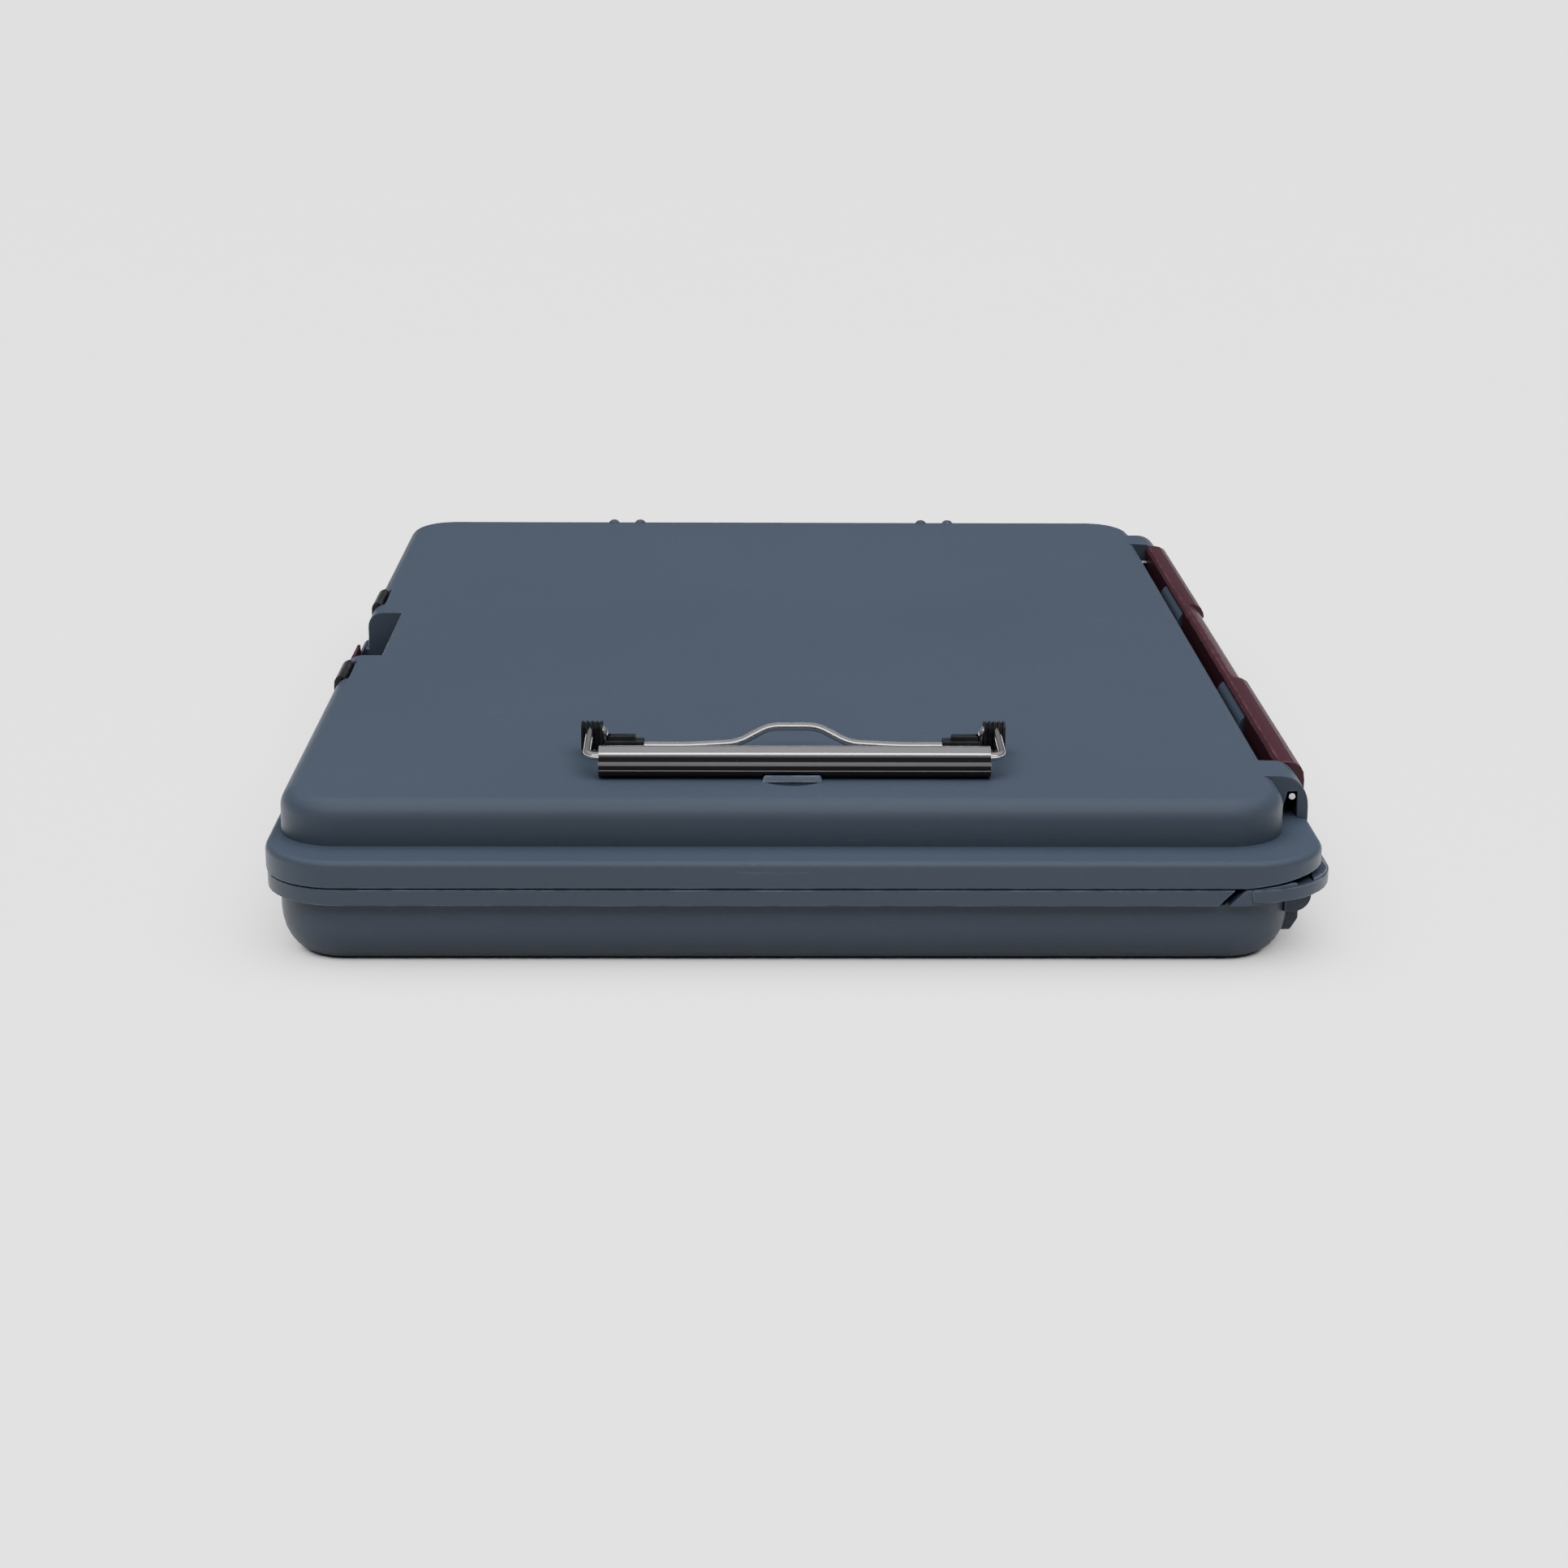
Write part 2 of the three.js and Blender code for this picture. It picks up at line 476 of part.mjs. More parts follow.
// ---- latches ------------------------------------------------------------------------------------
function makeLatch(end) {
  const y0 = latchY(end) - LATCH_LENGTH / 2;
  const y1 = latchY(end) + LATCH_LENGTH / 2;
  const [px, pz] = LATCH_PIVOT;
  const corner = 2.4;
  const profile = [
    ...arc(px, pz, LATCH_BOSS, 150, 370, 9),
    [LATCH_INSIDE, pz + 2.6], [LATCH_INSIDE, LATCH_TOP - 4], [LATCH_INSIDE + 0.7, LATCH_TOP - 3],
    [LATCH_HOOK_TIP, LATCH_TOP - 2.8], [LATCH_HOOK_TIP, LATCH_TOP - 0.8], [LATCH_HOOK_TIP - 0.8, LATCH_TOP],
    ...arc(LATCH_OUTSIDE + corner, LATCH_TOP - corner, corner, 90, 180, 6),
    [LATCH_OUTSIDE, pz + 3.4],
  ];
  const arm = profileAlongY(profile, y0, y1);
  return arm.subtract(cylinderAlongY(px, pz, PIN_RADIUS + GAP, y0 - EPS, y1 + EPS, 12));
}

function makeLatchPin(end) {
  const y = latchY(end);
  const reach = POCKET_HALF + 3.2;
  return cylinderAlongY(...LATCH_PIVOT, PIN_RADIUS, y - reach, y + reach, 10);
}

// ---- clip ---------------------------------------------------------------------------------------
// Sheet steel: a flat rear foot, a front foot, an upright front and a roll that holds the wire.
function makeClipPlate() {
  const seat = LID_TOP + GAP;
  const outer = [
    [CLIP_REAR, seat], [CLIP_FRONT + 0.1, seat], ...arc(-141.9, 40.4, 2.1, 222, 150, 4),
    ...arc(ROLL_Y, ROLL_Z, 2.6, 205, -30, 12),
  ];
  const inner = [
    ...arc(ROLL_Y, ROLL_Z, 2.6 - SHEET, -30, 205, 12),
    ...arc(-141.9, 40.4, 2.1 - SHEET, 150, 222, 4), [CLIP_FRONT + 0.5, seat + SHEET],
    [CLIP_REAR, seat + SHEET],
  ];
  const half = CLIP_LENGTH / 2;
  return profileAlongX([...outer, ...inner], CLIP_X - half, CLIP_X + half);
}

// The centre line of the wire, from one end inside the roll round the bar to the other end.
function wirePath() {
  const corners = [
    [WIRE_HALF - 9, ROLL_Y, ROLL_Z], [WIRE_HALF, ROLL_Y, ROLL_Z], [WIRE_HALF, BAR_Y, 44.3],
    [WIRE_HALF - 3.2, BAR_Y, 44.3], [WIRE_HALF - 4, BAR_Y, BAR_Z], [26, BAR_Y, BAR_Z],
    [14, BAR_Y + 0.6, BAR_Z + 0.5], [6, BAR_Y + 3, BAR_Z + 4.2],
  ];
  const mirrored = corners.map(([x, y, z]) => [-x, y, z]).reverse();
  const points = [...corners, ...mirrored].map(([x, y, z]) => new THREE.Vector3(CLIP_X + x, y, z));
  const path = new THREE.CurvePath();
  let start = points[0];
  for (let i = 1; i < points.length - 1; i++) {
    const toCorner = points[i].distanceTo(points[i - 1]);
    const fromCorner = points[i].distanceTo(points[i + 1]);
    const bend = Math.min(2.6, toCorner * 0.48, fromCorner * 0.48);
    const enter = points[i].clone().lerp(points[i - 1], bend / toCorner);
    const leave = points[i].clone().lerp(points[i + 1], bend / fromCorner);
    path.add(new THREE.LineCurve3(start, enter));
    path.add(new THREE.QuadraticBezierCurve3(enter, points[i], leave));
    start = leave;
  }
  path.add(new THREE.LineCurve3(start, points[points.length - 1]));
  return path;
}

function wireSolid(radius) {
  const section = new THREE.Shape();
  section.absarc(0, 0, radius, 0, 2 * Math.PI);
  const options = { steps: 130, curveSegments: 5, extrudePath: wirePath() };
  return solid(new THREE.ExtrudeGeometry(section, options));
}

const wire = wireSolid(WIRE_RADIUS);
const wireRoom = wireSolid(WIRE_RADIUS + GAP);

// Bring a piece drawn about the clip's middle to the clip's right or left end.
const atClipEnd = (piece, side) => (side > 0 ? piece : piece.mirror([1, 0, 0])).translate([CLIP_X, 0, 0]);

// A ribbed rubber boot that stands over the wire's rear corner.
function makeGripCorner(side) {
  const y0 = BAR_Y - 2.1;
  const y1 = BAR_Y + 2.3;
  const ribs = 5;
  const ribWidth = 0.8;
  let boot = box(BOOT_INNER, BOOT_OUTER, y0, y1, LID_TOP + 1, 44.9);
  for (let i = 0; i < ribs; i++) {
    const x = BOOT_INNER + 0.2 + (BOOT_OUTER - BOOT_INNER - ribWidth - 0.4) * i / (ribs - 1);
    boot = boot.add(box(x, x + ribWidth, y0 - 0.25, y1 + 0.25, LID_TOP + 1.2, 45.9));
  }
  const arch = box(BOOT_INNER + 1.3, BOOT_OUTER - 1.3, y0 - 1, y1 + 1, 0, 42.6);
  return atClipEnd(boot.subtract(arch), side).subtract(wireRoom);
}

function makeGripPad(side) {
  const outer = BOOT_INNER - GAP;
  const inner = outer - 10;
  const sleeve = box(inner, outer, BAR_Y - 1.9, BAR_Y + 1.9, LID_TOP + GAP, BAR_Z + 1.7);
  const block = box(inner + 2.2, outer - 1, BAR_Y - 1.2, BAR_Y + 1.2, BAR_Z + 1, BAR_Z + 2.9);
  return atClipEnd(sleeve.add(block), side).subtract(wireRoom);
}

function makeRivet(side) {
  const height = 1;
  const head = new THREE.CylinderGeometry(1.9, 2.3, height, 16).rotateX(Math.PI / 2);
  const seat = LID_TOP + GAP + SHEET + GAP;
  return solid(head.translate(CLIP_X + side * 36, (CLIP_REAR + ROLL_Y) / 2 + 0.4, seat + height / 2));
}

// ---- the assembly --------------------------------------------------------------------------------
const clipboard = new THREE.Group();

function place(name, piece, material) {
  const mesh = piece.getMesh();
  const geometry = new THREE.BufferGeometry();
  geometry.setAttribute('position', new THREE.BufferAttribute(Float32Array.from(mesh.vertProperties), 3));
  geometry.setIndex([...mesh.triVerts]);
  const part = new THREE.Mesh(geometry, material);
  part.name = name;
  clipboard.add(part);
}

place('base_tray', makeBase(), greyPlastic);
place('inner_tray', makeInnerTray(), maroonPlastic);
place('lid_shell', makeLid(), greyPlastic);
place('clip_plate', makeClipPlate(), steel);
place('clip_wire', wire, steel);
const ends = [['front', -1], ['rear', 1]];
for (const [name, end] of ends) {
  place('lid_pin_' + name, makeLidPin(end), steel);
  place('base_pin_' + name, makeBasePin(end), steel);
  place('latch_' + name, makeLatch(end), blackPlastic);
  place('latch_pin_' + name, makeLatchPin(end), steel);
}
const sides = [['left', -1], ['right', 1]];
for (const [name, side] of sides) {
  place('grip_corner_' + name, makeGripCorner(side), blackRubber);
  place('grip_pad_' + name, makeGripPad(side), blackRubber);
  place('clip_rivet_' + name, makeRivet(side), steel);
}

export default clipboard;
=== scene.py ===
# %% [markdown]
# # A storage clipboard
# The real object is three moulded leaves on one hinge line: a deep grey base tray, a maroon inner
# tray, and a grey lid whose flat top is the writing face. Two black latches at the left edge swing
# outward, and a wire clip in a rolled steel plate holds the paper. The mechanical model of all
# this is already fixed, so the first step is to load it. Everything after that only adds looks.

# %% Load the fixed frame
import json
import math

import bmesh
import bpy
from mathutils import Matrix, Vector


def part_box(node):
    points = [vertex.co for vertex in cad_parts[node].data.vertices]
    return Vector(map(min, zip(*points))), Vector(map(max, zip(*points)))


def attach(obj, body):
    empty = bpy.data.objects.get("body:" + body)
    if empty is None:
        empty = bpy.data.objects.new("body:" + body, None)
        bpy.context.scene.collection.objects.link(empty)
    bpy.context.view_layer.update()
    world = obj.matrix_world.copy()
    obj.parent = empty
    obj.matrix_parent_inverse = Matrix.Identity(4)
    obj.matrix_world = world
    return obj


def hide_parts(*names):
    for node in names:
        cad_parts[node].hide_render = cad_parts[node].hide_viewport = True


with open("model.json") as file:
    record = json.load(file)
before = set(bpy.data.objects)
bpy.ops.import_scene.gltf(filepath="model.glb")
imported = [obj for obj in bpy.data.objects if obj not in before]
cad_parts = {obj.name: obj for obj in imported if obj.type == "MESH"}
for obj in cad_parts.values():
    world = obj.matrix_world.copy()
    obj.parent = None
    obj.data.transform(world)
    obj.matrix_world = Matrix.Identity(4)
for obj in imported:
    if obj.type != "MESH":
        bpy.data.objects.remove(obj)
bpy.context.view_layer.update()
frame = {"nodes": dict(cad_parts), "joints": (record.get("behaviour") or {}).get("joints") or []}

MM = 0.001

# %% [markdown]
# ## Camera
# The camera comes before any modelling, because it decides which details are seen. It stands about
# two thirds of a metre in front of the clip end and looks down at a shallow angle, so the top is
# a strongly tapering shape. A longish lens keeps that taper calm. Turning about the vertical
# first, then tipping, then rolling is how a tripod head works, so the matrix is built that way.

# %% Set up the camera
LENS_MM = 68.27
CAMERA_SPOT = (-0.014, -0.8342, 0.247)
CAMERA_TURN = -0.87
CAMERA_DIP = 16.92
CAMERA_ROLL = 0.32

camera_data = bpy.data.cameras.new("camera")
camera_data.sensor_width = 36
camera_data.lens = LENS_MM
camera_data.clip_start = 0.01
camera = bpy.data.objects.new("camera", camera_data)
bpy.context.scene.collection.objects.link(camera)
camera.matrix_world = (
    Matrix.Translation(CAMERA_SPOT)
    @ Matrix.Rotation(math.radians(CAMERA_TURN), 4, "Z")
    @ Matrix.Rotation(math.radians(90 - CAMERA_DIP), 4, "X")
    @ Matrix.Rotation(math.radians(CAMERA_ROLL), 4, "Z")
)
bpy.context.scene.camera = camera
print("camera at", CAMERA_SPOT, "looking down", CAMERA_DIP, "degrees")

# %% [markdown]
# ## Shader sums
# A procedural finish is mostly arithmetic on noise. Wiring Math nodes by hand hides that, so one
# small class wraps a node's output and turns + - and * into Math nodes. The reflected forms
# let a plain number stand first, as in 1 - mask. All other nodes come from one method, which
# takes the node's type, its settings, and the values or wires of its sockets.

# %% A wire that can be added and multiplied
class Wire:
    def __init__(self, finish, socket):
        self.finish = finish
        self.socket = socket

    def maths(self, operation, first, second):
        return self.finish.node("ShaderNodeMath", {"operation": operation}, {0: first, 1: second})

    def __add__(self, other):
        return self.maths("ADD", self, other)

    def __sub__(self, other):
        return self.maths("SUBTRACT", self, other)

    def __rsub__(self, other):
        return self.maths("SUBTRACT", other, self)

    def __mul__(self, other):
        return self.maths("MULTIPLY", self, other)

    __radd__ = __add__
    __rmul__ = __mul__


class Finish:
    """One material. Keyword values go straight onto the surface shader's own sockets."""

    def __init__(self, name, **fixed):
        self.material = bpy.data.materials.new(name)
        self.material.use_nodes = True
        self.tree = self.material.node_tree
        self.shader = self.tree.nodes["Principled BSDF"]
        for socket, value in fixed.items():
            self.shader.inputs[socket.replace("_", " ")].default_value = value

    def join(self, socket, value):
        if isinstance(value, Wire):
            self.tree.links.new(value.socket, socket)
        elif value is not None:
            socket.default_value = value

    def node(self, kind, settings, inputs, output=0):
        made = self.tree.nodes.new(kind)
        stops = settings.pop("stops", [])
        for key, value in settings.items():
            setattr(made, key, value)
        for element, (position, grey) in zip(made.color_ramp.elements if stops else [], stops):
            element.position = position
            element.color = (grey, grey, grey, 1)
        for key, value in inputs.items():
            self.join(made.inputs[key], value)
        return Wire(self, made.outputs[output])

    def place(self):
        return self.node("ShaderNodeTexCoord", {}, {}, "Object")

    def edge(self):
        """1 on the small faces that a bevel made, 0 elsewhere."""
        return self.node("ShaderNodeAttribute", {"attribute_name": "edge"}, {}, "Fac")

    def noise(self, where, size, detail=2, roughness=0.5):
        """Noise from 0 to 1 with features about size metres across."""
        return self.node("ShaderNodeTexNoise", {}, {
            "Vector": where, "Scale": 1 / size, "Detail": detail, "Roughness": roughness})

    def ramp(self, value, low, high):
        return self.node("ShaderNodeValToRGB", {"stops": [(low, 0), (high, 1)]}, {"Fac": value})

    def stretch(self, where, scale):
        return self.node("ShaderNodeMapping", {}, {"Vector": where, "Scale": scale})

    def mix(self, mask, under, over):
        return self.node("ShaderNodeMix", {"data_type": "RGBA"}, {0: mask, 6: under, 7: over}, 2)

    def bump(self, height, depth, strength=1.0, under=None):
        return self.node("ShaderNodeBump", {}, {
            "Height": height, "Distance": depth, "Strength": strength, "Normal": under})

    def surface(self, **wires):
        for socket, value in wires.items():
            self.join(self.shader.inputs[socket.replace("_", " ")], value)
        return self.material


def shade(colour, factor=1.0):
    """A colour as the eye reads it, 0 to 255, made linear and brighter or darker by a factor."""
    linear = [((c / 255 + 0.055) / 1.055) ** 2.4 if c > 10 else c / 255 / 12.92 for c in colour]
    return (*[min(1.0, c * factor) for c in linear], 1)


GREY = (29, 34, 42)
print("grey in linear light:", [round(c, 3) for c in shade(GREY)])

# %% [markdown]
# ## Moulded plastic
# The leaves and latches are injection moulded. The steel mould is spark eroded, which leaves an
# even, very fine grain, and the plastic shows faint clouding where it cooled at different rates.
# Handling polishes the edges and leaves hairline scratches. One function makes all of that, and
# each plastic gives its own colours and sizes. The polished edges come from an attribute that the
# mesh code writes on the small faces it bevels. The studio's light is strong, so the colours are
# set dark and the specular level low. All sizes are in metres.

# %% Moulded plastic finishes
CLOUD_SIZE = 0.09
MOTTLE_SIZE = 0.011
RUBBED_SIZE = 0.006
SCRATCH_WIDTH = 0.0024
CROSSING_WIDTH = 0.003
SCRATCHED_PATCH = 0.05


def moulded(name, colour, worn, roughness, grain, grain_depth, scratches=0.5):
    finish = Finish(name, IOR=1.49, Specular_IOR_Level=0.16)
    where = finish.place()
    cloud = finish.noise(where, CLOUD_SIZE, 3)
    mottle = finish.noise(where, MOTTLE_SIZE, 3)
    edge = finish.edge()
    rubbed = finish.ramp(finish.noise(where, RUBBED_SIZE, 4, 0.65), 0.42, 0.62)
    wear = edge * rubbed
    lines = finish.noise(finish.stretch(where, (0.3, 9, 3)), SCRATCH_WIDTH, 1)
    crossing = finish.noise(finish.stretch(where, (7, 0.35, 3)), CROSSING_WIDTH, 1)
    patch = finish.ramp(finish.noise(where, SCRATCHED_PATCH, 2), 0.5, 0.7)
    scratch = (finish.ramp(lines, 0.7, 0.78) + finish.ramp(crossing, 0.71, 0.79)) * patch * scratches
    base = finish.mix(cloud, shade(colour, 0.93), shade(colour, 1.07))
    base = finish.mix(mottle * 0.25, base, shade(colour, 0.86))
    base = finish.mix(wear * 0.45 + scratch * 0.3, base, shade(worn))
    grains = finish.noise(where, grain, 2, 0.6)
    rough = roughness + cloud * 0.07 - 0.035 - wear * 0.12 - scratch * 0.1 + grains * 0.05
    broad = finish.bump(mottle, 0.00006, 0.25)
    fine = finish.bump(grains - scratch * 0.6, grain_depth, 0.6, broad)
    return finish.surface(Base_Color=base, Roughness=rough, Normal=fine)


FINISHES = {
    "grey_plastic": moulded("grey_plastic", GREY, worn=(54, 60, 71), roughness=0.5,
                            grain=0.0007, grain_depth=0.00004),
    "maroon_plastic": moulded("maroon_plastic", (30, 12, 17), worn=(60, 36, 44), roughness=0.42,
                              grain=0.0006, grain_depth=0.00003, scratches=0.4),
    "black_plastic": moulded("black_plastic", (11, 11, 13), worn=(36, 37, 41), roughness=0.4,
                             grain=0.0009, grain_depth=0.00009, scratches=0.3),
}
print("plastics:", ", ".join(FINISHES))

# %% [markdown]
# ## Rubber and steel
# The sleeves on the wire are soft black rubber, matt and a little dusty in the grooves. The clip
# is bright plated steel: what it shows is mostly the room, so its own colour hardly matters and
# its roughness matters a lot. Drawing and rolling leave very fine lines, and the plating has
# tiny pits. The hinge pins are plain drawn wire, duller and greyer. The clip plate gets one more
# layer of painted shade, placed in millimetres in front of and above the frame's origin: its front
# is painted dark under the roll and by the lid, where shade falls, with a bright line of the
# plate's own colour left between the two.

# %% Rubber and steel finishes
DUST_SIZE = 0.004
PORE_SIZE = 0.00035
DRAWN_SIZE = 0.0006
SMEAR_SIZE = 0.012
PIT_SIZE = 0.0009


def rubber():
    finish = Finish("black_rubber", IOR=1.5, Specular_IOR_Level=0.25)
    where = finish.place()
    dust = finish.ramp(finish.noise(where, DUST_SIZE, 4, 0.7), 0.45, 0.75)
    pores = finish.noise(where, PORE_SIZE, 2)
    edge = finish.edge()
    base = finish.mix(dust * 0.5 + edge * 0.15, shade((9, 10, 11)), shade((24, 25, 27)))
    return finish.surface(Base_Color=base, Roughness=0.62 + dust * 0.18 + pores * 0.06,
                          Normal=finish.bump(pores, 0.00003, 0.7))


def steel(name, colour, dull, roughness, stretch, painted_shade_mask=None):
    finish = Finish(name, Metallic=1.0)
    where = finish.place()
    drawn = finish.noise(finish.stretch(where, stretch), DRAWN_SIZE, 2)
    smear = finish.noise(where, SMEAR_SIZE, 4, 0.6)
    pits = finish.ramp(finish.noise(where, PIT_SIZE, 2), 0.7, 0.8)
    base = finish.mix(smear * 0.5 + pits * 0.4, shade(colour), shade(dull))
    if painted_shade_mask:
        # Painted shade: the mask darkens the plate's front under the roll and by the lid.
        base = finish.mix(painted_shade_mask(finish, where), base, shade((38, 35, 37)))
    return finish.surface(
        Base_Color=base, Roughness=roughness + smear * 0.08 + pits * 0.15 + drawn * 0.03,
        Normal=finish.bump(drawn - pits, 0.000004, 0.5))


# Where the painted shade on the plate's front starts and stops, in millimetres, and how dark it gets.
PLATE_FRONT = 142.2
ROLL_DARK_TOP = 43.2
ROLL_DARK_FOOT = 42
FOOT_DARK_TOP = 41
DARK_SHARE = 0.92


def painted_shade_on_plate(finish, where):
    """Painted shade on the plate's front. Each part blends within a millimetre of its own place."""
    back, up = [finish.node("ShaderNodeSeparateXYZ", {}, {0: where}, axis) for axis in "YZ"]
    in_front = finish.ramp((back * -1000 - PLATE_FRONT) * 2, 0, 1)
    below_top = 1 - finish.ramp(up * 1000 - ROLL_DARK_TOP, 0.2, 0.9)
    above_foot = finish.ramp(up * 1000 - ROLL_DARK_FOOT, 0.3, 0.5)
    by_lid = 1 - finish.ramp(up * 1000 - FOOT_DARK_TOP, 0.35, 0.65)
    return in_front * finish.ramp(below_top * above_foot + by_lid, 0, 1) * DARK_SHARE


FINISHES["black_rubber"] = rubber()
PLATED = {"colour": (226, 222, 220), "dull": (186, 180, 178), "roughness": 0.08,
          "stretch": (0.15, 1, 1)}
FINISHES["clip_steel"] = steel("clip_steel", **PLATED)
# The plate's steel carries painted shade on its front.
FINISHES["plate_steel"] = steel("plate_steel", **PLATED, painted_shade_mask=painted_shade_on_plate)
FINISHES["pin_steel"] = steel("pin_steel", colour=(188, 188, 190), dull=(150, 150, 152),
                              roughness=0.26, stretch=(1, 0.15, 1))
print("all finishes:", ", ".join(FINISHES))

# %% [markdown]
# ## Finishing a piece
# Every piece ends the same way: the working mesh becomes an object, gets its finish, and is
# told which body it rides on, and the mechanical nodes it stands for are hidden. Smooth shading
# is kept from running over sharp edges by marking every edge above a set angle as sharp. Next to
# a large flat face the angle is smaller, because a tilted normal there would shade the whole flat.

# %% Hand a finished mesh over
LARGE_FACE = 60 * MM * MM
FLAT_LIMIT = 15
FLAT_WEIGHT = 80


def crease(bm, smooth_under):
    for edge in bm.edges:
        if edge.is_manifold:
            by_flat = max(face.calc_area() for face in edge.link_faces) > LARGE_FACE
            limit = FLAT_LIMIT if by_flat else smooth_under
            edge.smooth = math.degrees(edge.calc_face_angle()) < limit
    for face in bm.faces:
        face.smooth = True


def hand_over(bm, name, body, slot, nodes, smooth_under=32, finish=None):
    crease(bm, smooth_under)
    mesh = bpy.data.meshes.new(name)
    bm.to_mesh(mesh)
    bm.free()
    piece = bpy.data.objects.new(name, mesh)
    bpy.context.scene.collection.objects.link(piece)
    piece.data.materials.append(FINISHES[finish or slot])
    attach(piece, body)
    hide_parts(*nodes)
    print(name, "faces:", len(mesh.polygons), "rides on", body)
    return piece


def even_shading(piece):
    """Let the big flat faces decide the shading next to the small rounded ones."""
    weighted = piece.modifiers.new("weighted_normals", "WEIGHTED_NORMAL")
    weighted.keep_sharp = True
    weighted.weight = FLAT_WEIGHT


print("edges over", FLAT_LIMIT, "degrees beside a large flat face are sharp")

# %% [markdown]
# ## Small radii on every edge
# A real moulding has no perfectly sharp edge: the tool is radiused, so every corner catches a thin
# line of light. Bevelling picks the edges that stand out and whose faces meet at more than a set
# angle. The small faces it makes are marked in an attribute on their corners, so that the finish
# can polish them without the mark bleeding over the large faces beside them. A mitre may reach a
# hair past the piece, so every point is finally brought back inside the piece's own box.

# %% Round the edges and mark them
MERGE_WITHIN = 0.00001
FLAT_WITHIN = 0.4


def round_edges(bm, width, over_angle=28, segments=2):
    layer = bm.loops.layers.float.new("edge")
    sharp = [e for e in bm.edges
             if e.is_manifold and e.is_convex and e.calc_face_angle() > math.radians(over_angle)]
    made = bmesh.ops.bevel(bm, geom=sharp, offset=width, offset_type="OFFSET", segments=segments,
                           profile=0.5, affect="EDGES", material=-1, clamp_overlap=False,
                           miter_outer="ARC" if segments > 2 else "SHARP", loop_slide=True)
    for face in made["faces"]:
        for loop in face.loops:
            loop[layer] = 1
    return len(sharp)


def keep_inside(bm, node):
    low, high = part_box(node)
    for vert in bm.verts:
        vert.co = Vector(min(max(c, a), b) for c, a, b in zip(vert.co, low, high))


def moulding(node):
    """A merged working copy of a mechanical node, with its flat faces whole again."""
    bm = bmesh.new()
    bm.from_mesh(frame["nodes"][node].data)
    bmesh.ops.remove_doubles(bm, verts=bm.verts, dist=MERGE_WITHIN)
    bmesh.ops.dissolve_limit(bm, angle_limit=math.radians(FLAT_WITHIN), verts=bm.verts, edges=bm.edges,
                             delimit=set())
    return bm


print("edge radii ready")

# %% [markdown]
# ## The three leaves
# The base, the inner tray and the lid carry every fit and hinge, so their shapes are taken as they
# are: a copy is merged, its flat areas are made whole, and its edges get small moulded radii.
# Drawing them again by hand would only risk moving a wall that has to clear its neighbour.

# %% Make the leaves
LEAVES = {
    "base_tray": ("base", "grey_plastic", 0.3, 32),
    "inner_tray": ("tray", "maroon_plastic", 0.25, 20),
    "lid_shell": ("lid", "grey_plastic", 0.3, 32),
}
for node, (body, slot, radius, smooth_under) in LEAVES.items():
    leaf = moulding(node)
    count = round_edges(leaf, radius * MM)
    keep_inside(leaf, node)
    even_shading(hand_over(leaf, node + "_moulding", body, slot, [node], smooth_under))
    print(node, "edges rounded:", count)

# %% [markdown]
# ## Latches
# Each latch is a flat black lever with a rounded top. It swings on a pin in the base. It is a
# simple moulding, so it is finished like the leaves, with a larger radius that the thumb feels.

# %% Make the latches
LATCH_EDGE = 0.45
for end in ("front", "rear"):
    lever = moulding("latch_" + end)
    round_edges(lever, LATCH_EDGE * MM, segments=3)
    keep_inside(lever, "latch_" + end)
    even_shading(hand_over(lever, "latch_lever_" + end, "latch_" + end, "black_plastic",
                           ["latch_" + end]))

# %% [markdown]
# ## Bending wire
# The clip's wire is one rod bent on a former. Modelling it the same way is the simplest: a ring of
# points is pushed along for each straight and spun about a bend's centre for each bend. The
# corners are given as points, and the bend's centre and angle follow from the two directions.

# %% A wire bender
BEND_SHARE = 0.48


def facing(direction):
    """A turn that brings +Z round to a direction."""
    return Vector(direction).to_track_quat("Z", "Y").to_matrix().to_4x4()


def ring_edges(verts):
    inside = set(verts)
    return [e for e in {e for v in verts for e in v.link_edges} if set(e.verts) <= inside]


def bent_rod(corners, radius, reach, sides=20, steps=8):
    """A round rod along straights between corners. reach is how far a bend starts before one."""
    bm = bmesh.new()
    corners = [Vector(c) for c in corners]
    heading = (corners[1] - corners[0]).normalized()
    ring = bmesh.ops.create_circle(bm, segments=sides, radius=radius,
                                   matrix=Matrix.Translation(corners[0]) @ facing(heading))["verts"]
    first = ring_edges(ring)
    at = corners[0]
    for before, corner, after in zip(corners, corners[1:], corners[2:]):
        onward = (after - corner).normalized()
        turn = heading.angle(onward)
        start = min(reach, BEND_SHARE * (corner - before).length,
                    BEND_SHARE * (after - corner).length)
        ring = push(bm, ring, corner - heading * start - at)
        bend = start / math.tan(turn / 2)
        inward = (onward - heading * heading.dot(onward)).normalized()
        spun = bmesh.ops.spin(bm, geom=ring_edges(ring), cent=corner - heading * start + inward * bend,
                              axis=heading.cross(onward), angle=turn, steps=steps)
        ring = [v for v in spun["geom_last"] if isinstance(v, bmesh.types.BMVert)]
        at = corner + onward * start
        heading = onward
    ring = push(bm, ring, corners[-1] - at)
    for edges in (first, ring_edges(ring)):
        bmesh.ops.contextual_create(bm, geom=edges)
    bmesh.ops.recalc_face_normals(bm, faces=bm.faces)
    return bm


def push(bm, ring, by):
    pushed = bmesh.ops.extrude_edge_only(bm, edges=ring_edges(ring))["geom"]
    verts = [v for v in pushed if isinstance(v, bmesh.types.BMVert)]
    bmesh.ops.translate(bm, verts=verts, vec=by)
    return verts


